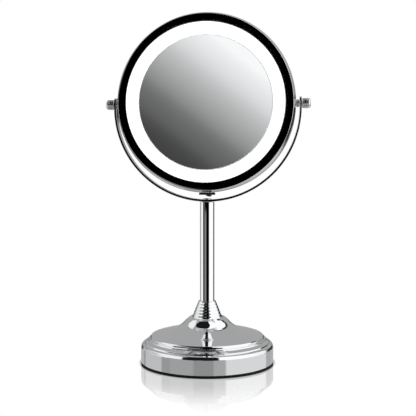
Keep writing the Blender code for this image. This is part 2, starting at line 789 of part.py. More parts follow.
def make_switch_screw(label, x, body, plate):
    shaft_r, head_r, clearance = 0.0008, 0.0014, 0.0003
    plate_bottom = SWITCH_PLATE_Z - SWITCH_PLATE_THICK
    shaft_top, head_top = SWITCH_BODY_Z + 0.0030, plate_bottom + 0.0007
    profile = [
        (0, shaft_top),
        (shaft_r, shaft_top),
        (shaft_r, head_top),
        (head_r, head_top),
        (head_r, plate_bottom),
        (0, plate_bottom),
    ]
    screw = turned(f"switch_screw_{label}", profile, 12)
    place(screw, "tilt_axis", (x, 0, 0), UPRIGHT, "zinc_steel")
    hole = rod_mesh(f"switch_hole_{label}", shaft_r + clearance, SWITCH_PLATE_THICK * 4, 12)
    cut(plate, as_cutter(hole, (x, 0, SWITCH_PLATE_Z)))
    sink = rod_mesh(f"switch_sink_{label}", head_r + clearance, 0.0020, 12)
    cut(plate, as_cutter(sink, (x, 0, head_top + GAP - 0.0010)))
    thread = rod_mesh(f"switch_thread_{label}", shaft_r + clearance, 0.0070, 12)
    cut(body, as_cutter(thread, (x, 0, SWITCH_BODY_Z)))


def make_slider():
    """A thumb ramp under the plate with a stem up through it; it rests at the right end of its travel."""
    rest = SWITCH_TRAVEL / 2
    thumb_top = SWITCH_PLATE_Z - SWITCH_PLATE_THICK - 0.0002
    stem_top = SWITCH_BODY_Z + 0.0025
    width = 0.0034
    outline = [
        (-0.0035, -0.0004),
        (-0.0035, 0.0),
        (0.0035, 0.0),
        (0.0035, -0.0006),
        (0.0018, -0.0018),
        (0.0004, -0.0018),
    ]

    def build(bm):
        front = [bm.verts.new((x, -width / 2, z)) for x, z in outline]
        face = bm.faces.new(front)
        swept = bmesh.ops.extrude_face_region(bm, geom=[face])["geom"]
        moved = [item for item in swept if isinstance(item, bmesh.types.BMVert)]
        bmesh.ops.translate(bm, vec=(0, width, 0), verts=moved)
        bmesh.ops.recalc_face_normals(bm, faces=bm.faces)

    slider = mesh_object("switch_slider", build)
    place(slider, "switch_slide", (rest, 0, thumb_top), UPRIGHT, "black_plastic")
    stem_height = stem_top - thumb_top + 0.0002
    stem = box("slider_stem", (0.0030, 0.0020, stem_height))
    join(slider, as_cutter(stem, (rest, 0, stem_top - stem_height / 2)))


# Pivots: studs, bushes, knobs


def make_pivot(label, turn, side):
    """The stud is fixed in the band and passes through the bush and the yoke's arm into the knob."""
    stud_end = YOKE_R + KNOB_LENGTH - 0.0017
    flange_out, flange_in, flange_r = BAND_IN_R - 0.0006, BAND_IN_R - 0.0040, 0.0050
    stud = [
        (0, stud_end),
        (STUD_R - 0.0004, stud_end),
        (STUD_R, stud_end - 0.0004),
        (STUD_R, flange_out),
        (flange_r, flange_out),
        (flange_r, flange_in),
        (0, flange_in),
    ]
    pin = turned(f"{label}_stud", stud, ROD_STEPS)
    place(pin, "tilt_axis", (0, 0, PIVOT_Z), turn, "zinc_steel")
    make_bush(label, turn)
    make_knob(label, turn, side, stud_end - YOKE_R + GAP)


def make_bush(label, turn):
    """A spacer with a groove round its middle, between the band and the arm."""
    bore = STUD_R + STUD_PLAY
    bush_r, bush_in, bush_out = 0.0043, HEAD_R + GAP, ARM_IN_X - 0.0002
    groove = (bush_in + bush_out) / 2
    profile = [
        (bore, bush_out),
        (bush_r, bush_out),
        (bush_r, groove + 0.0004),
        (bush_r - 0.0005, groove),
        (bush_r, groove - 0.0004),
        (bush_r, bush_in),
        (bore, bush_in),
    ]
    bush = turned(f"{label}_bush", profile, ROD_STEPS, closed=True)
    place(bush, "tilt_axis", (0, 0, PIVOT_Z), turn, "chrome")


def make_knob(label, turn, side, bore_end):
    """A thumb knob with a groove behind its domed end."""
    bore = STUD_R + STUD_PLAY
    knob_in, knob_out = GAP, KNOB_LENGTH
    profile = [
        (0, knob_out),
        (KNOB_R - 0.0026, knob_out - 0.0002),
        (KNOB_R - 0.0009, knob_out - 0.0011),
        (KNOB_R - 0.0002, knob_out - 0.0023),
        (KNOB_R - 0.0006, knob_out - 0.0027),
        (KNOB_R, knob_out - 0.0032),
        (KNOB_R, knob_in + 0.0006),
        (KNOB_R - 0.0006, knob_in),
        (bore, knob_in),
        (bore, bore_end),
        (0, bore_end),
    ]
    knob = turned(f"{label}_knob", profile, ROD_STEPS)
    place(knob, f"{label}_knob_axis", (side * YOKE_R, 0, PIVOT_Z), turn, "chrome")


def smooth_meshes():
    for obj in PARTS.objects:
        if obj.type == "MESH" and obj.data.polygons:
            obj.data.shade_smooth()
            obj.data.set_sharp_from_angle(angle=radians(35))


clear_scene()
PARTS = new_collection("lighted_vanity_mirror")
CUTTERS = new_collection("cutters")
make_empties()

make_foot_pad()
make_base_shell()
make_base_weight()
make_base_fastening()
make_collar()
make_post()
make_yoke()

make_band()
make_bezel("front_bezel", "tilt_axis", FACING_FRONT)
make_bezel("rear_bezel", "rear_cover_slide", FACING_BACK)
make_diffuser("front_diffuser", "tilt_axis", FACING_FRONT)
make_diffuser("rear_diffuser", "rear_cover_slide", FACING_BACK)
make_front_mirror()
make_rear_mirror()
make_chassis()
make_rear_carrier()
make_light_board("front_light_board", FLANGE_FRONT + GAP, FACING_FRONT)
make_light_board("rear_light_board", -FLANGE_BACK + GAP, FACING_BACK)

make_battery_holder()
for number in range(CELL_COUNT):
    make_cell(number)
make_leads()
make_switch()
make_pivot("left", FACING_LEFT, -1)
make_pivot("right", FACING_RIGHT, 1)
smooth_meshes()
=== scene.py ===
from math import cos, hypot, pi, radians, sin, tan

import bmesh
import bpy
from mathutils import Matrix, Vector


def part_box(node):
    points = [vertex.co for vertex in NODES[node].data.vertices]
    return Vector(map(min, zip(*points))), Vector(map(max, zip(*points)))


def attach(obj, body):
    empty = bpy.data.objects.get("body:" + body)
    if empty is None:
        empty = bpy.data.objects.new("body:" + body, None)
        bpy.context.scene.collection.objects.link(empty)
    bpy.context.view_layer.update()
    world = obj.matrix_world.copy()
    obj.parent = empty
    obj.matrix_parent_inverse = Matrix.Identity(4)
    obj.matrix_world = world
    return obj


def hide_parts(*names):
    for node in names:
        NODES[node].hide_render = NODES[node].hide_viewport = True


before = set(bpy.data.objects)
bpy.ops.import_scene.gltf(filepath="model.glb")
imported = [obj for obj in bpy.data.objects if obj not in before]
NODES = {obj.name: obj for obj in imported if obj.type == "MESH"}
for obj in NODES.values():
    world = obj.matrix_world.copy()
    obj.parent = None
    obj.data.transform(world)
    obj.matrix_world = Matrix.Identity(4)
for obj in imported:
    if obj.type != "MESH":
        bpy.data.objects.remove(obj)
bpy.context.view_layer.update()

# Places taken from the CAD frame
band_low, band_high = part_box("head_band")
bezel_low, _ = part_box("front_bezel")
shell_low, shell_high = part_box("base_shell")
_, pad_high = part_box("foot_pad")
post_low, post_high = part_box("post_tube")
collar_low, collar_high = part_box("collar")
yoke_low, yoke_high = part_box("yoke")
knob_low, knob_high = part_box("right_knob")
bush_low, bush_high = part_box("right_bush")
plate_low, plate_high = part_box("switch_plate")
glass_low, glass_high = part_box("front_mirror")

PIVOT_Z = (band_low.z + band_high.z) / 2
HEAD_R = band_high.x
BAND_HALF = band_high.y
CROWN = -bezel_low.y
BASE_R = shell_high.x
SHELL_BOTTOM = shell_low.z
POST_R = post_high.x
YOKE_R = yoke_high.x
YOKE_HALF_DEPTH = yoke_high.y
YOKE_CENTRE_Z = yoke_low.z + YOKE_R
GLASS_R = glass_high.x
GLASS_FACE = -glass_low.y
GLASS_BACK = -glass_high.y

# Clearance holes that more than one piece shares
ROD_HOLE_R = 0.0034
STUD_HOLE_R = 0.0026
SWITCH_SCREW_X = 0.0068
SWITCH_SCREW_HOLE_R = 0.0011

# A profile's point this close to its axis is on it
ON_AXIS = 1e-7


# Geometry helpers


def add(name, mesh, body, node, slot, *materials):
    """A piece that rides on a body and stands for one CAD node."""
    obj = bpy.data.objects.new(name, mesh)
    bpy.context.scene.collection.objects.link(obj)
    finish_shading(obj)
    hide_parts(node)
    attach(obj, body)
    paint(obj, *materials)
    return obj


def paint(obj, *materials):
    obj.data.materials.clear()
    for material in materials:
        obj.data.materials.append(material)


def finish_shading(obj, sharp=38):
    """Smooth faces, apart from edges sharper than the given degrees."""
    mesh = obj.data
    mesh.shade_smooth()
    mesh.set_sharp_from_angle(angle=radians(sharp))
    weighted = obj.modifiers.new("weighted", "WEIGHTED_NORMAL")
    weighted.keep_sharp = True
    weighted.weight = 50


def rounded(points, segments=4):
    """Rounds the corners of a profile whose points are (r, h) or (r, h, fillet radius)."""
    most_of_side = 0.49
    out = []
    last = len(points) - 1
    for i, point in enumerate(points):
        here = Vector(point[:2])
        radius = point[2] if len(point) > 2 else 0.0
        if radius <= 0 or i in (0, last):
            out.append((here.x, here.y))
            continue
        before = Vector(points[i - 1][:2]) - here
        after = Vector(points[i + 1][:2]) - here
        half = before.angle(after) / 2
        reach = min(radius / tan(half), before.length * most_of_side, after.length * most_of_side)
        start, end = here + before.normalized() * reach, here + after.normalized() * reach
        for k in range(segments + 1):
            t = k / segments
            point_on = start * (1 - t) ** 2 + here * (2 * t * (1 - t)) + end * t**2
            out.append((point_on.x, point_on.y))
    return out


def smooth_line(through, count):
    """A smooth (Catmull-Rom) line through the given points, with count points to a stretch."""
    through = [Vector(p) for p in through]
    ends = [2 * through[0] - through[1]] + through + [2 * through[-1] - through[-2]]
    points = []
    for a, b, c, d in zip(ends, ends[1:], ends[2:], ends[3:]):
        for i in range(count):
            t = i / count
            bend = (2 * a - 5 * b + 4 * c - d) * t**2
            twist = (3 * b - a - 3 * c + d) * t**3
            points.append((2 * b + (c - a) * t + bend + twist) / 2)
    return points + [through[-1]]


# Where a turned profile goes: x and y lie across its axis, and h along it


def upright(x, y, h):
    return Vector((x, y, h))


def forwards(x, y, h):
    return Vector((x, -h, PIVOT_Z + y))


def backwards(x, y, h):
    return Vector((x, h, PIVOT_Z + y))


def rightwards(x, y, h):
    return Vector((h, x, PIVOT_Z + y))


def leftwards(x, y, h):
    return Vector((-h, x, PIVOT_Z + y))


def finished(name, bm):
    """The mesh that a bmesh describes."""
    mesh = bpy.data.meshes.new(name)
    bm.to_mesh(mesh)
    bm.free()
    return mesh


def skin(bm, rings):
    """Joins rings of equally many vertices into a closed skin with flat ends."""
    for first, second in zip(rings, rings[1:]):
        for k in range(len(first)):
            m = (k + 1) % len(first)
            bm.faces.new((first[k], first[m], second[m], second[k]))
    bm.faces.new(rings[0])
    bm.faces.new(rings[-1])
    bmesh.ops.recalc_face_normals(bm, faces=bm.faces)


def turned_mesh(name, profile, to_world, steps=128, closed=False):
    """Turns a profile of (r, h) points about its h axis; a closed one joins its last point to its first."""
    bm = bmesh.new()
    rings = []
    for r, h in profile:
        if r < ON_AXIS:
            rings.append([bm.verts.new(to_world(0.0, 0.0, h))])
            continue
        ring = []
        for i in range(steps):
            angle = 2 * pi * i / steps
            ring.append(bm.verts.new(to_world(r * cos(angle), r * sin(angle), h)))
        rings.append(ring)
    pairs = list(zip(rings, rings[1:]))
    if closed:
        pairs.append((rings[-1], rings[0]))
    for first, second in pairs:
        for i in range(steps):
            j = (i + 1) % steps
            corners = []
            for ring, k in ((first, i), (first, j), (second, j), (second, i)):
                vert = ring[k % len(ring)]
                if vert not in corners:
                    corners.append(vert)
            if len(corners) > 2:
                bm.faces.new(corners)
    bmesh.ops.recalc_face_normals(bm, faces=bm.faces)
    return finished(name, bm)


def box_mesh(name, low, high, bevel=0.0, segments=3):
    """A box between two corners, with rounded edges if it has a bevel."""
    bm = bmesh.new()
    bmesh.ops.create_cube(bm, size=1.0)
    size = Vector(high) - Vector(low)
    middle = (Vector(high) + Vector(low)) / 2
    bmesh.ops.scale(bm, vec=size, verts=bm.verts)
    bmesh.ops.translate(bm, vec=middle, verts=bm.verts)
    if bevel:
        bmesh.ops.bevel(bm, geom=bm.edges, offset=bevel, segments=segments, profile=0.5, affect="EDGES")
    return finished(name, bm)


def cylinder_mesh(name, radius, start, end, steps=48):
    """A plain cylinder between two points, used only to cut holes."""
    start, end = Vector(start), Vector(end)
    bm = bmesh.new()
    turn = (end - start).to_track_quat("Z", "Y").to_matrix().to_4x4()
    matrix = Matrix.Translation((start + end) / 2) @ turn
    bmesh.ops.create_cone(
        bm,
        cap_ends=True,
        segments=steps,
        radius1=radius,
        radius2=radius,
        depth=(end - start).length,
        matrix=matrix,
    )
    return finished(name, bm)


def combine(mesh, cutters, operation="DIFFERENCE"):
    """The mesh after an exact boolean with each cutter mesh."""
    obj = bpy.data.objects.new("boolean_base", mesh)
    bpy.context.scene.collection.objects.link(obj)
    helpers = []
    for cutter in cutters:
        helper = bpy.data.objects.new("boolean_cutter", cutter)
        bpy.context.scene.collection.objects.link(helper)
        helpers.append(helper)
        boolean = obj.modifiers.new("cut", "BOOLEAN")
        boolean.operation = operation
        boolean.solver = "EXACT"
        boolean.object = helper
    bpy.context.view_layer.update()
    graph = bpy.context.evaluated_depsgraph_get()
    made = bpy.data.meshes.new_from_object(obj.evaluated_get(graph))
    made.name = mesh.name
    for helper in helpers + [obj]:
        bpy.data.objects.remove(helper)
    return made


def sweep_mesh(name, points, radius, sides):
    """A round tube along world points, with closed ends."""
    points = [Vector(p) for p in points]
    bm = bmesh.new()
    rings = []
    normal = None
    for i, point in enumerate(points):
        ahead = points[min(i + 1, len(points) - 1)] - points[max(i - 1, 0)]
        ahead.normalize()
        if normal is None:
            normal = ahead.orthogonal().normalized()
        normal = (normal - ahead * normal.dot(ahead)).normalized()
        across = ahead.cross(normal)
        ring = []
        for k in range(sides):
            angle = 2 * pi * k / sides
            ring.append(bm.verts.new(point + radius * (normal * cos(angle) + across * sin(angle))))
        rings.append(ring)
    skin(bm, rings)
    return finished(name, bm)


# Materials


class Tree:
    """Short ways to add nodes to the node tree of a material or of the world."""

    def __init__(self, owner):
        owner.use_nodes = True
        self.tree = owner.node_tree

    def node(self, kind, inputs=(), **settings):
        """A new node whose inputs are values or the outputs of other nodes."""
        made = self.tree.nodes.new(kind)
        for key, value in settings.items():
            setattr(made, key, value)
        for key, value in dict(inputs).items():
            if isinstance(value, bpy.types.NodeSocket):
                self.tree.links.new(value, made.inputs[key])
            else:
                made.inputs[key].default_value = value
        return made

    def math(self, operation, a, b=0.0):
        return self.node("ShaderNodeMath", {0: a, 1: b}, operation=operation).outputs[0]

    def spread(self, value, low, high, start=0.3, end=0.7, **settings):
        """Goes from low to high as the value goes from start to end."""
        return self.node(
            "ShaderNodeMapRange",
            {"Value": value, "From Min": start, "From Max": end, "To Min": low, "To Max": high},
            **settings,
        ).outputs[0]

    def step(self, value, start, end, low=0.0, high=1.0):
        """The same with a soft start and end."""
        return self.spread(value, low, high, start, end, interpolation_type="SMOOTHSTEP")


class Shader(Tree):
    """A node material round one Principled shader."""

    def __init__(self, name, colour, roughness, metallic=0.0, **sockets):
        self.material = bpy.data.materials.new(name)
        super().__init__(self.material)
        self.shader = self.tree.nodes["Principled BSDF"]
        self.set("Base Color", (*colour, 1.0))
        self.set("Roughness", roughness)
        self.set("Metallic", metallic)
        for socket, value in sockets.items():
            self.set(socket.replace("_", " "), value)
        self.where = self.tree.nodes.new("ShaderNodeTexCoord").outputs["Object"]

    def set(self, socket, value):
        self.shader.inputs[socket].default_value = value

    def link(self, output, socket):
        self.tree.links.new(output, self.shader.inputs[socket])

    def noise(self, scale, detail=3.0, stretch=None):
        vector = self.where
        if stretch:
            vector = self.node("ShaderNodeMapping", {"Vector": vector, "Scale": stretch}).outputs[0]
        return self.node(
            "ShaderNodeTexNoise", {"Vector": vector, "Scale": scale, "Detail": detail}
        ).outputs["Fac"]

    def blend(self, value, low, high):
        """Goes from the colour low to the colour high as the value goes from 0 to 1."""
        mix = self.node("ShaderNodeMix", {0: value, 6: (*low, 1.0), 7: (*high, 1.0)}, data_type="RGBA")
        return mix.outputs[2]

    def vary(self, texture, roughness, colours):
        """Roughness and colour that go from their first to their second value with a texture."""
        self.link(self.spread(texture, *roughness), "Roughness")
        self.link(self.blend(texture, *colours), "Base Color")

    def bump(self, height, strength, distance):
        made = self.node(
            "ShaderNodeBump", {"Height": height, "Strength": strength, "Distance": distance}
        )
        self.link(made.outputs[0], "Normal")


def darker(colour, share):
    return tuple(c * share for c in colour)


def chrome(name, roughness=0.03, ripple=0.02, colour=(0.90, 0.91, 0.92)):
    """Polished plate: slight haze in patches and a faint waviness."""
    shader = Shader(name, colour, roughness, 1.0)
    haze = shader.noise(45.0, 4.0)
    shader.vary(haze, (roughness * 0.7, roughness * 1.4), (darker(colour, 0.97), colour))
    shader.bump(shader.noise(160.0, 2.0), ripple, 0.0002)
    return shader.material


def satin_metal(name, colour, roughness, stretch, scale=900.0):
    """Drawn or plated metal with fine lines along one direction."""
    shader = Shader(name, colour, roughness, 1.0)
    lines = shader.noise(scale, 4.0, stretch)
    shader.vary(lines, (roughness * 0.75, roughness * 1.3), (darker(colour, 0.92), colour))
    shader.bump(lines, 0.06, 0.0001)
    return shader.material


def moulded(name, colour, roughness, grain=1400.0, strength=0.15, **sockets):
    """Moulded plastic or rubber with a fine grain."""
    shader = Shader(name, colour, roughness, **sockets)
    fine = shader.noise(grain, 3.0)
    patches = shader.noise(60.0, 3.0)
    shader.vary(patches, (roughness * 0.85, roughness * 1.15), (darker(colour, 0.88), colour))
    shader.bump(fine, strength, 0.0001)
    return shader.material


def cast_iron():
    """Rough and unevenly dark."""
    shader = Shader("cast_iron", (0.10, 0.10, 0.10), 0.7, 0.7)
    rough = shader.noise(350.0, 6.0)
    shader.vary(rough, (0.55, 0.85), ((0.05, 0.05, 0.05), (0.14, 0.135, 0.13)))
    shader.bump(rough, 0.5, 0.0004)
    return shader.material


def frosted_lit():
    """Frosted acrylic lit from behind, a little unevenly."""
    shader = Shader("frosted_acrylic", (0.97, 0.97, 0.96), 0.35)
    frost = shader.noise(700.0, 3.0)
    shader.link(shader.spread(frost, 0.30, 0.42), "Roughness")
    shader.bump(frost, 0.06, 0.0001)
    glow = shader.spread(shader.noise(22.0, 2.0), 1.03, 1.10)
    shader.set("Emission Color", (1.0, 1.0, 1.0, 1.0))
    shader.link(glow, "Emission Strength")
    return shader.material


def silvered():
    """Mirror glass: sharp, with a trace of haze."""
    shader = Shader("silvered_glass", (0.93, 0.94, 0.95), 0.01, 1.0)
    haze = shader.noise(30.0, 3.0)
    shader.vary(haze, (0.004, 0.012), ((0.92, 0.93, 0.94), (0.95, 0.955, 0.96)))
    return shader.material


def glass_edge():
    """The ground edge of the mirror glass."""
    shader = Shader("glass_edge", (0.62, 0.66, 0.65), 0.12, 0.35)
    ground = shader.noise(900.0, 3.0)
    shader.vary(ground, (0.08, 0.2), ((0.50, 0.55, 0.54), (0.70, 0.73, 0.72)))
    return shader.material


def circuit_board():
    """White solder mask with faint tracks."""
    shader = Shader("circuit_board", (0.90, 0.91, 0.90), 0.4)
    cells = shader.node(
        "ShaderNodeTexVoronoi",
        {"Vector": shader.where, "Scale": 160.0},
        feature="DISTANCE_TO_EDGE",
    ).outputs["Distance"]
    tracks = shader.spread(cells, 0.0, 1.0, 0.02, 0.06)
    shader.link(shader.blend(tracks, (0.76, 0.80, 0.78), (0.90, 0.91, 0.90)), "Base Color")
    shader.link(shader.spread(shader.noise(400.0), 0.3, 0.5), "Roughness")
    shader.bump(tracks, 0.15, 0.00005)
    return shader.material


def wire_cover(name, colour):
    """Soft plastic insulation."""
    shader = Shader(name, colour, 0.4)
    fine = shader.noise(500.0, 2.0)
    shader.vary(fine, (0.32, 0.5), (darker(colour, 0.75), colour))
    shader.bump(fine, 0.08, 0.0001)
    return shader.material


CHROME = chrome("chrome")
BEZEL_CHROME = chrome("bezel_chrome", 0.018, 0.006)
BASE_CHROME = chrome("base_chrome", 0.035, 0.02)
GRIP = chrome("grip_chrome", 0.12, 0.05, (0.62, 0.63, 0.64))
SATIN = satin_metal("satin_silver", (0.66, 0.67, 0.67), 0.30, (1.0, 0.05, 1.0))
ZINC = satin_metal("zinc_steel", (0.62, 0.63, 0.64), 0.34, (1.0, 1.0, 0.2))
IRON = cast_iron()
RUBBER = moulded("black_rubber", (0.006, 0.006, 0.006), 0.85, 900.0, 0.3)
BLACK = moulded("black_plastic", (0.012, 0.012, 0.013), 0.55)
WHITE = moulded("white_plastic", (0.86, 0.86, 0.84), 0.45)
LIT = frosted_lit()
SILVER = silvered()
EDGE = glass_edge()
BOARD = circuit_board()
SLEEVE = moulded("battery_jacket", (0.08, 0.26, 0.15), 0.3, 500.0, 0.03)
BAND_PRINT = moulded("battery_band", (0.72, 0.50, 0.28), 0.28, 500.0, 0.03, Metallic=0.6)
RED_WIRE = wire_cover("red_wire", (0.55, 0.03, 0.02))
BLACK_WIRE = wire_cover("black_wire", (0.02, 0.02, 0.02))


# Stand


def make_stand():
    """Pad, base, collar, post and the screw in its top."""
    pad_r, pad_top = pad_high.x, pad_high.z
    pad = [(0, pad_top), (pad_r, pad_top, 0.0003), (pad_r, 0, 0.0003), (0, 0)]
    mesh = turned_mesh("foot_ring", rounded(pad), upright)
    add("foot_ring", mesh, "stand", "foot_pad", "foot_rubber", RUBBER)

    add("base_cover", base_mesh(), "stand", "base_shell", "chrome", BASE_CHROME)
    add("post_collar", collar_mesh(), "stand", "collar", "chrome", CHROME)

    inner = POST_R - 0.0012
    top, bottom = post_high.z, post_low.z
    tube = [
        (POST_R - 0.0003, top),
        (POST_R, top, 0.0002),
        (POST_R, bottom, 0.0002),
        (inner, bottom, 0.0002),
        (inner, top, 0.0002),
        (inner + 0.0003, top),
    ]
    mesh = turned_mesh("post", rounded(tube), upright, 96, closed=True)
    add("post", mesh, "stand", "post_tube", "chrome", CHROME)
    add("bow_screw", screw_mesh(), "stand", "yoke_screw", "zinc_steel", CHROME)


def base_mesh():
    """The shell: raised rim, flare, dome, two steps, sloped shoulder and wall, with the hollow side below."""
    seat = collar_low.z - 0.0002
    rim_r, rim_top = collar_high.x + 0.0006, 0.0507
    throat = (0.0213, 0.0491)
    dome_edge = (0.0600, 0.0309)
    wall_top = 0.0182
    sheet = 0.0013
    rim = rounded([(rim_r, seat), (rim_r, rim_top - 0.0002, 0.0003), (0.0191, rim_top, 0.0007), throat], 5)
    flare = [
        throat,
        (0.0239, 0.0467),
        (0.0263, 0.0443),
        (0.0286, 0.0422),
        (0.0315, 0.0401),
        (0.0350, 0.0382),
        (0.0400, 0.0362),
        (0.0450, 0.0347),
        (0.0500, 0.0335),
        (0.0550, 0.0323),
        dome_edge,
    ]
    steps = [
        dome_edge,
        (0.0622, 0.0302, 0.0012),
        (0.0634, 0.0291, 0.0009),
        (0.0635, 0.0276, 0.0003),
        (0.0654, 0.0272, 0.0008),
        (0.0655, 0.0258, 0.0003),
        (0.0658, 0.0256, 0.0002),
        (0.0693, 0.0236, 0.0005),
        (0.0696, 0.0223, 0.0003),
        (0.0726, 0.0212, 0.0016),
        (BASE_R, wall_top, 0.0010),
        (BASE_R, SHELL_BOTTOM + 0.0004, 0.0003),
    ]
    inside = [
        (BASE_R - 0.0005, SHELL_BOTTOM),
        (BASE_R - sheet, SHELL_BOTTOM + 0.0004),
        (BASE_R - sheet, wall_top),
        (0.0680, 0.0212),
        (0.0640, 0.0244),
        (0.0618, 0.0270),
        (0.0400, 0.0352),
        (0.0300, 0.0384),
        (0.0264, 0.0410),
        (0.0196, seat - sheet),
        (ROD_HOLE_R, seat - sheet),
        (ROD_HOLE_R, seat),
    ]
    outside = rim + smooth_line(flare, 6)[1:] + rounded(steps, 5)[1:]
    return turned_mesh("base_cover", outside + inside, upright, 160, closed=True)


def collar_mesh():
    """Rounded ribs that widen down to the base, under a plain lip."""
    top, bottom = collar_high.z, collar_low.z
    top_r, foot_r = 0.0098, collar_high.x
    ribs, rib_steps, lip = 6, 10, 0.0010
    bulge, groove = 0.0004, 0.0003
    pitch = (top - lip - bottom) / ribs
    profile = [(top_r - 0.0005, top), (top_r - 0.0001, top - 0.0001), (top_r, top - 0.0004)]
    for i in range(ribs):
        for k in range(1, rib_steps):
            t = k / rib_steps
            share = (i + t) / ribs
            cone = top_r + (foot_r - top_r) * share * (1.15 - 0.15 * share)
            radius = cone + bulge * sin(pi * t) - groove
            profile.append((min(radius, foot_r), top - lip - (i + t) * pitch))
    profile += [(foot_r, bottom + 0.0003), (foot_r - 0.0003, bottom)]
    seat = bottom + 0.0065
    bore = POST_R + 0.0003
    profile += [(ROD_HOLE_R, bottom), (ROD_HOLE_R, seat), (bore, seat), (bore, top)]
    return turned_mesh("post_collar", profile, upright, 96, closed=True)


def screw_mesh():
    """The screw that holds the yoke on the post, with a low head and a cross slot."""
    low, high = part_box("yoke_screw")
    head_r, shaft_r = high.x, 0.0020
    head_bottom = yoke_low.z + 0.0028
    profile = [
        (0, high.z),
        (head_r, high.z - 0.0002, 0.0008),
        (head_r, head_bottom, 0.0001),
        (shaft_r, head_bottom, 0.0002),
        (shaft_r, low.z, 0.0004),
        (0, low.z),
    ]
    body = turned_mesh("bow_screw", rounded(profile, 5), upright, 64)
    long, wide, deep = 0.0044, 0.0008, 0.0014
    middle = Vector((0, 0, high.z))
    slots = []
    for half in (Vector((long, wide, deep)) / 2, Vector((wide, long, deep)) / 2):
        slots.append(box_mesh("slot", middle - half, middle + half))
    return combine(body, slots)


# Yoke


def yoke_stations(middle_r, half):
    """Along the bar's middle line: x, z from the bow's centre, half width, and turn along the bow."""
    arm = yoke_high.z - YOKE_CENTRE_Z
    end_steps, arm_steps, bow_steps = 14, 4, 144
    left = []
    for i in range(1, end_steps + 1):
        angle = pi / 2 * (1 - i / end_steps)
        left.append((-middle_r, arm - half + half * sin(angle), half * cos(angle), 0.0))
    for i in range(1, arm_steps):
        left.append((-middle_r, (arm - half) * (1 - i / arm_steps), half, 0.0))
    bow = []
    for i in range(bow_steps + 1):
        turn = pi * i / bow_steps
        bow.append((-middle_r * cos(turn), -middle_r * sin(turn), half, turn))
    right = [(-x, z, width, pi - turn) for x, z, width, turn in reversed(left)]
    return left + bow + right


def yoke_mesh():
    """A flat bar with softened edges, bent to a bow; the arms end in half rounds."""
    thick, soft, corner_steps = 0.0025, 0.00025, 3
    bm = bmesh.new()
    rings = []
    for x, z, width, turn in yoke_stations(YOKE_R - thick / 2, YOKE_HALF_DEPTH):
        outward = Vector((-cos(turn), 0, -sin(turn)))
        corner = min(soft, width * 0.8)
        ring = []
        for sign_u, sign_v in ((1, 1), (-1, 1), (-1, -1), (1, -1)):
            for k in range(corner_steps + 1):
                angle = pi / 2 * k / corner_steps
                if sign_u * sign_v < 0:
                    angle = pi / 2 - angle
                u = sign_u * (thick / 2 - soft + soft * cos(angle))
                v = sign_v * (width - corner + corner * sin(angle))
                ring.append(bm.verts.new(Vector((x, v, YOKE_CENTRE_Z + z)) + outward * u))
        rings.append(ring)
    skin(bm, rings)
    bar = finished("bow", bm)
    cutters = []
    for side in (-1, 1):
        start, end = (side * (YOKE_R - 0.006), 0, PIVOT_Z), (side * (YOKE_R + 0.004), 0, PIVOT_Z)
        cutters.append(cylinder_mesh("arm_hole", STUD_HOLE_R, start, end))
    foot = yoke_low.z
    cutters.append(cylinder_mesh("foot_hole", 0.0022, (0, 0, foot - 0.004), (0, 0, foot + 0.006)))
    return combine(bar, cutters)


# Head


def bezel_profile():
    """Inner lip, almost flat face, rounded outer edge, side, shoulder and skirt."""
    light_r, face_r, side_r = 0.0858, 0.0953, 0.0966
    face = CROWN - 0.0001
    wall_r = HEAD_R - 0.0001
    skirt_r, skirt_end, sheet = HEAD_R - 0.0018, 0.0100, 0.0012
    shoulder = BAND_HALF + 0.0003
    outer = [
        (light_r + 0.0004, CROWN - 0.0019),
        (light_r, CROWN - 0.0011, 0.0003),
        (light_r + 0.0006, face, 0.0004),
        (face_r - 0.0018, face),
        (face_r, CROWN - 0.0002, 0.0005),
        (side_r, CROWN - 0.0040, 0.0012),
        (wall_r, shoulder + 0.0010, 0.0010),
        (wall_r, shoulder, 0.0002),
        (skirt_r, shoulder, 0.0001),
        (skirt_r, skirt_end),
    ]
    inner = [(skirt_r - sheet, skirt_end), (0.0945, CROWN - 0.0045), (0.0930, CROWN - 0.0018)]
    return rounded(outer, 6) + inner


def diffuser_profile():
    """The lit ring between glass and bezel."""
    low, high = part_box("front_diffuser")
    top, bottom = -low.y, -high.y
    inner, outer = GLASS_R + 0.0004, high.x
    return rounded(
        [
            (inner, bottom + 0.0005),
            (inner, top - 0.0001, 0.0004),
            (inner + 0.0050, top),
            (outer, top, 0.0002),
            (outer, bottom, 0.0002),
            (inner + 0.0003, bottom),
        ]
    )


def make_mirror(name, to_world, body, node, depth):
    """A silvered glass, flat or concave, with a narrow ground bevel; depth is how far the bowl sinks."""
    reach = GLASS_R - 0.0007
    count = 24 if depth else 6
    radii = [reach * i / count for i in range(count + 1)]
    sunk = [depth * (1 - (r / GLASS_R) ** 2) for r in radii]
    face = [(r, GLASS_FACE - sink) for r, sink in zip(radii, sunk)]
    edge = [(GLASS_R - 0.0001, GLASS_FACE - 0.0006), (GLASS_R, GLASS_FACE - 0.0009)]
    edge += [(GLASS_R, GLASS_BACK + 0.0003), (GLASS_R - 0.0003, GLASS_BACK)]
    back = [(r, GLASS_BACK - sink) for r, sink in zip(radii, sunk)][::-1]
    mesh = turned_mesh(name, face + edge + back, to_world, 160)
    obj = add(name, mesh, body, node, "mirror_glass", SILVER, EDGE)
    for polygon in obj.data.polygons:
        middle = polygon.center
        polygon.material_index = 1 if hypot(middle.x, middle.z - PIVOT_Z) > reach else 0


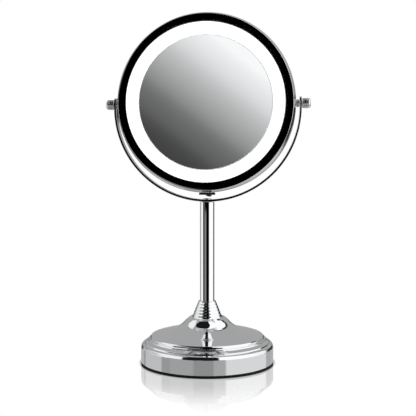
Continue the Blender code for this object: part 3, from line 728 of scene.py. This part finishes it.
def band_mesh():
    """The band round the head, pierced for the studs, the switch's screws and its slider."""
    inner = HEAD_R - 0.0015
    ring = rounded(
        [
            (inner + 0.0005, BAND_HALF),
            (HEAD_R, BAND_HALF, 0.0003),
            (HEAD_R, -BAND_HALF, 0.0003),
            (inner, -BAND_HALF, 0.0002),
            (inner, BAND_HALF, 0.0002),
        ]
    )
    mesh = turned_mesh("middle_band", ring, forwards, 160, closed=True)
    cutters = []
    for side in (-1, 1):
        start, end = (side * (HEAD_R - 0.006), 0, PIVOT_Z), (side * (HEAD_R + 0.003), 0, PIVOT_Z)
        cutters.append(cylinder_mesh("stud_hole", STUD_HOLE_R + 0.0002, start, end))
        x, z = side * SWITCH_SCREW_X, band_low.z
        start, end = (x, 0, z - 0.002), (x, 0, z + 0.006)
        cutters.append(cylinder_mesh("screw_hole", SWITCH_SCREW_HOLE_R, start, end, 24))
    low, high = (-0.0042, -0.0017, band_low.z - 0.003), (0.0042, 0.0017, band_low.z + 0.005)
    cutters.append(box_mesh("slider_slot", low, high))
    return combine(mesh, cutters)


def make_head():
    add("bow", yoke_mesh(), "yoke", "yoke", "chrome", CHROME)
    add("middle_band", band_mesh(), "head", "head_band", "chrome", SATIN)
    faces = (("front", forwards, "head", 0.0), ("rear", backwards, "rear_cover", 0.0045))
    for label, to_world, body, depth in faces:
        mesh = turned_mesh(f"{label}_rim", bezel_profile(), to_world, 192, closed=True)
        add(f"{label}_rim", mesh, body, f"{label}_bezel", "chrome", BEZEL_CHROME)
        mesh = turned_mesh(f"{label}_light_ring", diffuser_profile(), to_world, 160, closed=True)
        add(f"{label}_light_ring", mesh, body, f"{label}_diffuser", "frosted_acrylic", LIT)
        make_mirror(f"{label}_glass", to_world, body, f"{label}_mirror", depth)


# Pivots and switch


def knob_profile():
    """Domed end, neck, grooved grip, flat back and the bore for the stud."""
    radius = knob_high.z - PIVOT_Z
    back, end = knob_low.x, knob_high.x
    grip_start, grip_end = back + 0.0007, end - 0.0030
    bore_end = end - 0.0014
    profile = [
        (0, end),
        (radius - 0.0026, end - 0.0001),
        (radius - 0.0009, end - 0.0009),
        (radius - 0.0002, end - 0.0020),
        (radius - 0.0003, end - 0.0024),
        (radius - 0.0009, end - 0.0027),
        (radius - 0.0002, grip_end),
    ]
    grooves, groove_depth = 3, 0.0006
    pitch = (grip_end - grip_start) / grooves
    for i in range(grooves):
        here = grip_end - i * pitch
        profile += [(radius, here - pitch * 0.15), (radius, here - pitch * 0.6)]
        profile += [(radius - groove_depth, here - pitch * 0.8)]
    profile += [(radius - 0.0001, grip_start - 0.0001), (radius - 0.0006, back)]
    profile += [(STUD_HOLE_R, back), (STUD_HOLE_R, bore_end), (0, bore_end)]
    return profile


def bush_profile():
    """A spacer with a groove round its middle."""
    radius = bush_high.z - PIVOT_Z
    inner, outer = bush_low.x, bush_high.x
    middle = (inner + outer) / 2
    groove_half, groove_depth = 0.0005, 0.0007
    return rounded(
        [
            (STUD_HOLE_R + 0.0003, outer),
            (radius, outer, 0.0003),
            (radius, middle + groove_half, 0.0002),
            (radius - groove_depth, middle, 0.0003),
            (radius, middle - groove_half, 0.0002),
            (radius, inner, 0.0003),
            (STUD_HOLE_R, inner, 0.0001),
            (STUD_HOLE_R, outer, 0.0001),
        ]
    )


def make_pivots():
    dome_start = knob_high.x - 0.0028
    for label, to_world in (("left", leftwards), ("right", rightwards)):
        mesh = turned_mesh(f"{label}_thumb_knob", knob_profile(), to_world, 64)
        body = f"{label}_knob"
        knob = add(f"{label}_thumb_knob", mesh, body, f"{label}_knob", "chrome", CHROME, GRIP)
        for polygon in knob.data.polygons:
            polygon.material_index = 1 if abs(polygon.center.x) < dome_start else 0
        mesh = turned_mesh(f"{label}_spacer", bush_profile(), to_world, 64, closed=True)
        add(f"{label}_spacer", mesh, "head", f"{label}_bush", "chrome", GRIP)


def switch_frame_mesh():
    """A plate with a slot for the slider and two sunk screw holes."""
    low, high = plate_low, plate_high
    below, above = low.z - 0.002, high.z + 0.002
    cutters = [box_mesh("slot", (-0.0034, -0.0013, below), (0.0034, 0.0013, above))]
    for x in (-SWITCH_SCREW_X, SWITCH_SCREW_X):
        cutters.append(cylinder_mesh("hole", SWITCH_SCREW_HOLE_R, (x, 0, below), (x, 0, above), 24))
        cutters.append(cylinder_mesh("sink", 0.0017, (x, 0, below), (x, 0, low.z + 0.0010), 24))
    return combine(box_mesh("switch_frame", low, high, 0.0003), cutters)


def switch_thumb_mesh():
    """A ramp with two grip notches under the plate, on a stem through the plate's slot."""
    low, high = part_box("switch_slider")
    middle_x = (low.x + high.x) / 2
    thumb_top = plate_low.z - 0.0002
    width, edge = 0.0034, 0.00012
    crest, notch = -0.0018, -0.00165
    outline = [
        (-0.0035, -0.0004),
        (-0.0035, 0.0),
        (0.0035, 0.0),
        (0.0035, -0.0006),
        (0.0020, crest),
        (0.0015, notch),
        (0.0011, crest),
        (0.0006, notch),
        (0.0002, crest),
    ]
    bm = bmesh.new()
    face = bm.faces.new([bm.verts.new((middle_x + x, -width / 2, thumb_top + z)) for x, z in outline])
    swept = bmesh.ops.extrude_face_region(bm, geom=[face])["geom"]
    moved = [item for item in swept if isinstance(item, bmesh.types.BMVert)]
    bmesh.ops.translate(bm, vec=(0, width, 0), verts=moved)
    bmesh.ops.recalc_face_normals(bm, faces=bm.faces)
    bmesh.ops.bevel(bm, geom=bm.edges, offset=edge, segments=2, profile=0.5, affect="EDGES")
    stem_low = (middle_x - 0.0015, -0.0010, thumb_top - 0.0002)
    stem_high = (middle_x + 0.0015, 0.0010, high.z)
    return combine(finished("switch_thumb", bm), [box_mesh("stem", stem_low, stem_high)], "UNION")


def make_switch():
    slot = "black_plastic"
    add("switch_frame", switch_frame_mesh(), "head", "switch_plate", slot, BLACK)
    add("switch_thumb", switch_thumb_mesh(), "switch_slider", "switch_slider", slot, BLACK)


# Inside the head

CELLS = range(1, 5)


def cell_profile(radius, half, band_start):
    """From the contact nub, over the printed band and the sleeve, to the dished foot."""
    nub = 0.0012
    shoulder = half - nub
    return rounded(
        [
            (0, half),
            (0.0026, half, 0.0004),
            (0.0027, shoulder, 0.0002),
            (radius - 0.0012, shoulder, 0.0003),
            (radius - 0.0002, shoulder - 0.0002, 0.0004),
            (radius, shoulder - 0.0016, 0.0003),
            (radius, band_start),
            (radius, -half + 0.0012),
            (radius - 0.0004, -half, 0.0004),
            (radius - 0.0020, -half, 0.0002),
            (radius - 0.0024, -half + 0.0002, 0.0002),
            (0, -half + 0.0002),
        ],
        3,
    )


def make_cells():
    """The cells stand side by side, every second one upside down."""
    band_start = 0.0120
    for number in CELLS:
        low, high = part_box(f"battery_{number}")
        middle = (low + high) / 2
        radius, half = (high.x - low.x) / 2, (high.z - low.z) / 2
        up = 1 if number % 2 else -1

        def to_world(x, y, h, middle=middle, up=up):
            return middle + Vector((x, y, up * h))

        mesh = turned_mesh(f"cell_{number}", cell_profile(radius, half, band_start), to_world, 64)
        materials = (SLEEVE, ZINC, BAND_PRINT)
        obj = add(f"cell_{number}", mesh, "head", f"battery_{number}", "battery_jacket", *materials)
        for polygon in obj.data.polygons:
            off = polygon.center - middle
            if hypot(off.x, off.y) < radius - 0.0010:
                polygon.material_index = 1
            elif up * off.z > band_start:
                polygon.material_index = 2


def make_springs():
    """A coil under each cell's foot, wide at the holder and narrow at the cell."""
    wire_r, turns, per_turn = 0.00035, 4, 20
    foot_r, tip_r = 0.0048, 0.0026
    steps = turns * per_turn
    for number in CELLS:
        low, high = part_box(f"contact_spring_{number}")
        up = 1 if number % 2 else -1
        reach = up * ((high.z - low.z) / 2 - wire_r)
        start, end = (low.z + high.z) / 2 - reach, (low.z + high.z) / 2 + reach
        cell_low, cell_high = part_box(f"battery_{number}")
        axis = (cell_low + cell_high) / 2
        points = []
        for i in range(steps + 1):
            radius = foot_r + (tip_r - foot_r) * i / steps
            angle = 2 * pi * i / per_turn
            x, y = axis.x + radius * cos(angle), axis.y + radius * sin(angle)
            points.append((x, y, start + (end - start) * i / steps))
        mesh = sweep_mesh(f"coil_{number}", points, wire_r, 8)
        add(f"coil_{number}", mesh, "head", f"contact_spring_{number}", "zinc_steel", ZINC)


CARRIED = [
    (IRON, ["base_weight"]),
    (ZINC, ["base_washer", "base_nut", "tie_rod", "post_plug", "left_stud", "right_stud"]),
    (ZINC, ["switch_screw_left", "switch_screw_right"]),
    (ZINC, [f"contact_plate_{number}" for number in CELLS]),
    (WHITE, ["inner_chassis", "rear_carrier"]),
    (BOARD, ["front_light_board", "rear_light_board"]),
    (BLACK, ["battery_holder", "switch_body"]),
    (RED_WIRE, ["battery_lead_red", "switch_lead"]),
    (BLACK_WIRE, ["battery_lead_black"]),
]


def dress_carried():
    """Gives the CAD nodes that are kept their materials."""
    for material, names in CARRIED:
        for name in names:
            paint(NODES[name], material)


# Stage, light and camera

TABLE_R = 0.30
TABLE_Z, FILM_Z = -0.0004, -0.0002
FADE_START, FADE_END = 0.085, 0.20
CONTACT_SHADOW = 0.004
# How much the table glows and shines, to the camera and to the object's reflections
TABLE_GLOW, TABLE_GLOW_UNSEEN = 0.55, 0.29
TABLE_SHINE, TABLE_SHINE_UNSEEN = 0.34, 0.46


def disc(name, height, material):
    """A round sheet of the stage."""
    bm = bmesh.new()
    bmesh.ops.create_circle(bm, cap_ends=True, segments=96, radius=TABLE_R)
    mesh = finished(name, bm)
    mesh.materials.append(material)
    obj = bpy.data.objects.new(name, mesh)
    bpy.context.scene.collection.objects.link(obj)
    obj.location.z = height


def make_floor():
    """A pale glossy table top that fades out round the base, under a clear film.

    Light that comes off the table has gone through the film, and make_light tells it by that.
    """
    material = bpy.data.materials.new("table_top")
    t = Tree(material)
    t.tree.nodes.clear()
    where = t.node("ShaderNodeTexCoord").outputs["Object"]
    distance = t.node("ShaderNodeVectorMath", {0: where}, operation="LENGTH").outputs["Value"]
    seen = t.node("ShaderNodeLightPath").outputs["Is Camera Ray"]

    # a painted contact shadow darkens the table's glow just outside the pad's edge (lit is where that painted
    # shadow has faded out), and the table glows more where the camera sees it
    lit = t.step(distance, pad_high.x, pad_high.x + CONTACT_SHADOW)
    strength = t.math("MULTIPLY", t.step(seen, 0.0, 1.0, TABLE_GLOW_UNSEEN, TABLE_GLOW), lit)
    glow = t.node("ShaderNodeEmission", {"Strength": strength})
    shine = t.step(seen, 0.0, 1.0, TABLE_SHINE_UNSEEN, TABLE_SHINE)
    gloss = t.node("ShaderNodeBsdfGlossy", {"Color": shine, "Roughness": 0.05})
    both = t.node("ShaderNodeAddShader", {0: glow.outputs[0], 1: gloss.outputs[0]})

    far = t.step(distance, FADE_START, FADE_END)
    fade = t.math("MULTIPLY", far, seen)
    clear = t.node("ShaderNodeBsdfTransparent")
    mix = t.node("ShaderNodeMixShader", {0: fade, 1: both.outputs[0], 2: clear.outputs[0]})
    t.node("ShaderNodeOutputMaterial", {"Surface": mix.outputs[0]})
    disc("floor", TABLE_Z, material)

    film = bpy.data.materials.new("clear_film")
    t = Tree(film)
    t.tree.nodes.clear()
    clear = t.node("ShaderNodeBsdfTransparent")
    t.node("ShaderNodeOutputMaterial", {"Surface": clear.outputs[0]})
    disc("floor_film", FILM_Z, film)


class World(Tree):
    """The studio's light, written as a function of direction."""

    def __init__(self):
        world = bpy.data.worlds.new("studio")
        bpy.context.scene.world = world
        world.cycles.sampling_method = "NONE"
        super().__init__(world)
        self.tree.nodes.clear()

    def mix(self, factor, a, b):
        return self.node("ShaderNodeMix", {0: factor, 2: a, 3: b}, data_type="FLOAT").outputs[0]

    def levels(self, value, places, interpolation):
        """A grey level along a value from 0 to 1; places are (position, level)."""
        made = self.node("ShaderNodeValToRGB", {"Fac": value})
        made.color_ramp.interpolation = interpolation
        elements = made.color_ramp.elements
        for element, (_, level) in ((elements[0], places[0]), (elements[-1], places[-1])):
            element.color = (level, level, level, 1)
        for at, level in places[1:-1]:
            elements.new(at).color = (level, level, level, 1)
        return self.node("ShaderNodeRGBToBW", {0: made.outputs[0]}).outputs[0]

    def stripes(self, value, stops):
        """Levels by azimuth: stops are (degrees where a level starts, level), with soft borders."""
        places = [(0.0, stops[0][1])]
        for (start, level), (_, before) in zip(stops[1:], stops):
            at = (start + 180) / 360
            places += [(at - SOFT_BORDER, before), (at + SOFT_BORDER, level)]
        places.append((1.0, stops[-1][1]))
        return self.levels(value, places, "LINEAR")

    def slope(self, value, stops):
        """A smooth level along the sine of an angle: stops are (degrees, level)."""
        start, end = sin(radians(stops[0][0])), sin(radians(stops[-1][0]))
        share = self.spread(value, 0.0, 1.0, start, end)
        places = [((sin(radians(angle)) - start) / (end - start), level) for angle, level in stops]
        return self.levels(share, places, "CARDINAL")


SOFT_BORDER = 1.6 / 360
# Levels by azimuth: 0 is the front, where the camera is, and 90 is the side of the right knob
LOW_STRIPES = [
    (-180, 0.40),
    (-158.0, 0.06),
    (-138.0, 0.50),
    (-106.0, 1.0),
    (-64.0, 0.03),
    (-38.0, 0.22),
    (-8.0, 0.0),
    (36.3, 1.1),
    (119.0, 0.04),
    (172.0, 0.40),
]
MIDDLE_STRIPES = [
    (-180, 0.40),
    (-133.0, 0.0),
    (-127.0, 0.58),
    (-78.0, 0.10),
    (-60.0, 0.19),
    (-17.0, 0.0),
    (17.0, 0.26),
    (38.0, 0.98),
    (128.0, 0.31),
    (150.0, 0.40),
]
HIGH_STRIPES = [
    (-180, 0.40),
    (-122.0, 0.95),
    (-40.0, 0.01),
    (28.0, 1.1),
    (132.0, 0.03),
    (141.0, 0.40),
]
TOP_STRIPES = [
    (-180, 0.40),
    (-92.0, 0.01),
    (44.0, 1.1),
    (140.0, 0.03),
    (148.0, 0.40),
]
# The bands above the lowest, with the elevations over which each takes over from the one below it
UPPER_BANDS = [(MIDDLE_STRIPES, 6, 9), (HIGH_STRIPES, 16, 22), (TOP_STRIPES, 55, 60)]
# In front, the lowest band is dark from just under the horizon up; under the table all is grey
FRONT_START, FRONT_END, FRONT_SOFT = 0.40, 0.60, 0.015
HORIZON_START, HORIZON_END = -3.2, -2.4
BELOW_START, BELOW_END, BELOW_LEVEL = -12, -20, 0.55
# What the flat glass shows: a round card in this direction, whose level changes along its diagonal
GLASS_SEES_AZIMUTH, GLASS_SEES_ELEVATION = -6.4, 5.2
CARD_SOFT, CARD_EDGE = 5.9, 5.3
DIAGONAL_RIGHT, DIAGONAL_UP = 0.61, 0.79
GLASS_LEVELS = [(-5.2, 0.052), (-3.25, 0.105), (-1.1, 0.26), (1.7, 0.62), (3.85, 0.94), (5.2, 1.05)]
# The white wall that the table reflects, up to this many bounces, and the one behind the object
WALL_IN_TABLE, MOST_BOUNCES, WALL = 1.4, 2, 1.0


def make_light():
    w = World()
    direction = w.node("ShaderNodeTexCoord").outputs["Generated"]
    x, y, z = w.node("ShaderNodeSeparateXYZ", {0: direction}).outputs
    turn = w.math("ARCTAN2", x, w.math("MULTIPLY", y, -1.0))
    azimuth = w.math("ADD", w.math("DIVIDE", turn, 2 * pi), 0.5)

    def rise(start, end):
        return w.step(z, sin(radians(start)), sin(radians(end)))

    def along(vector):
        inputs = {0: direction, 1: tuple(vector)}
        return w.node("ShaderNodeVectorMath", inputs, operation="DOT_PRODUCT").outputs["Value"]

    # four bands of side lights and dark gaps round the object, and what is under the table
    in_front = w.math(
        "MULTIPLY",
        w.step(azimuth, FRONT_START, FRONT_START + FRONT_SOFT),
        w.step(azimuth, FRONT_END, FRONT_END - FRONT_SOFT),
    )
    dark = w.math("MULTIPLY", in_front, rise(HORIZON_START, HORIZON_END))
    level = w.mix(dark, w.stripes(azimuth, LOW_STRIPES), 0.0)
    for stripes, start, end in UPPER_BANDS:
        level = w.mix(rise(start, end), level, w.stripes(azimuth, stripes))
    level = w.mix(rise(BELOW_START, BELOW_END), level, BELOW_LEVEL)

    # the card that the flat glass shows, dark at its lower left and white at its upper right
    a, e = radians(GLASS_SEES_AZIMUTH), radians(GLASS_SEES_ELEVATION)
    centre = Vector((sin(a) * cos(e), -cos(a) * cos(e), sin(e)))
    right = Vector((cos(a), sin(a), 0.0))
    up = centre.cross(right)
    card = w.step(along(centre), cos(radians(CARD_SOFT)), cos(radians(CARD_EDGE)))
    shown = w.slope(along(DIAGONAL_RIGHT * right + DIAGONAL_UP * up), GLASS_LEVELS)
    level = w.mix(card, level, shown)

    # the table reflects a white wall, and the camera sees one behind the object
    path = w.node("ShaderNodeLightPath").outputs
    early = w.math("LESS_THAN", path["Ray Depth"], MOST_BOUNCES + 0.5)
    through_film = w.math("GREATER_THAN", path["Transparent Depth"], 0.5)
    level = w.mix(w.math("MULTIPLY", early, through_film), level, WALL_IN_TABLE)
    level = w.mix(path["Is Camera Ray"], level, WALL)
    colour = w.node("ShaderNodeCombineColor", {0: level, 1: level, 2: level}).outputs[0]
    background = w.node("ShaderNodeBackground", {"Color": colour, "Strength": 1.0})
    w.node("ShaderNodeOutputWorld", {"Surface": background.outputs[0]})


def make_camera():
    data = bpy.data.cameras.new("camera")
    data.lens = 67.1
    data.sensor_width = 36.0
    data.clip_start = 0.01
    camera = bpy.data.objects.new("camera", data)
    camera.location = (0.0946, -0.8569, 0.210)
    camera.rotation_euler = (radians(87.47), 0.0, radians(6.24))
    bpy.context.scene.collection.objects.link(camera)
    bpy.context.scene.camera = camera


make_stand()
make_head()
make_pivots()
make_switch()
make_cells()
make_springs()
dress_carried()
make_floor()
make_light()
make_camera()
bpy.context.scene.view_settings.view_transform = "Standard"
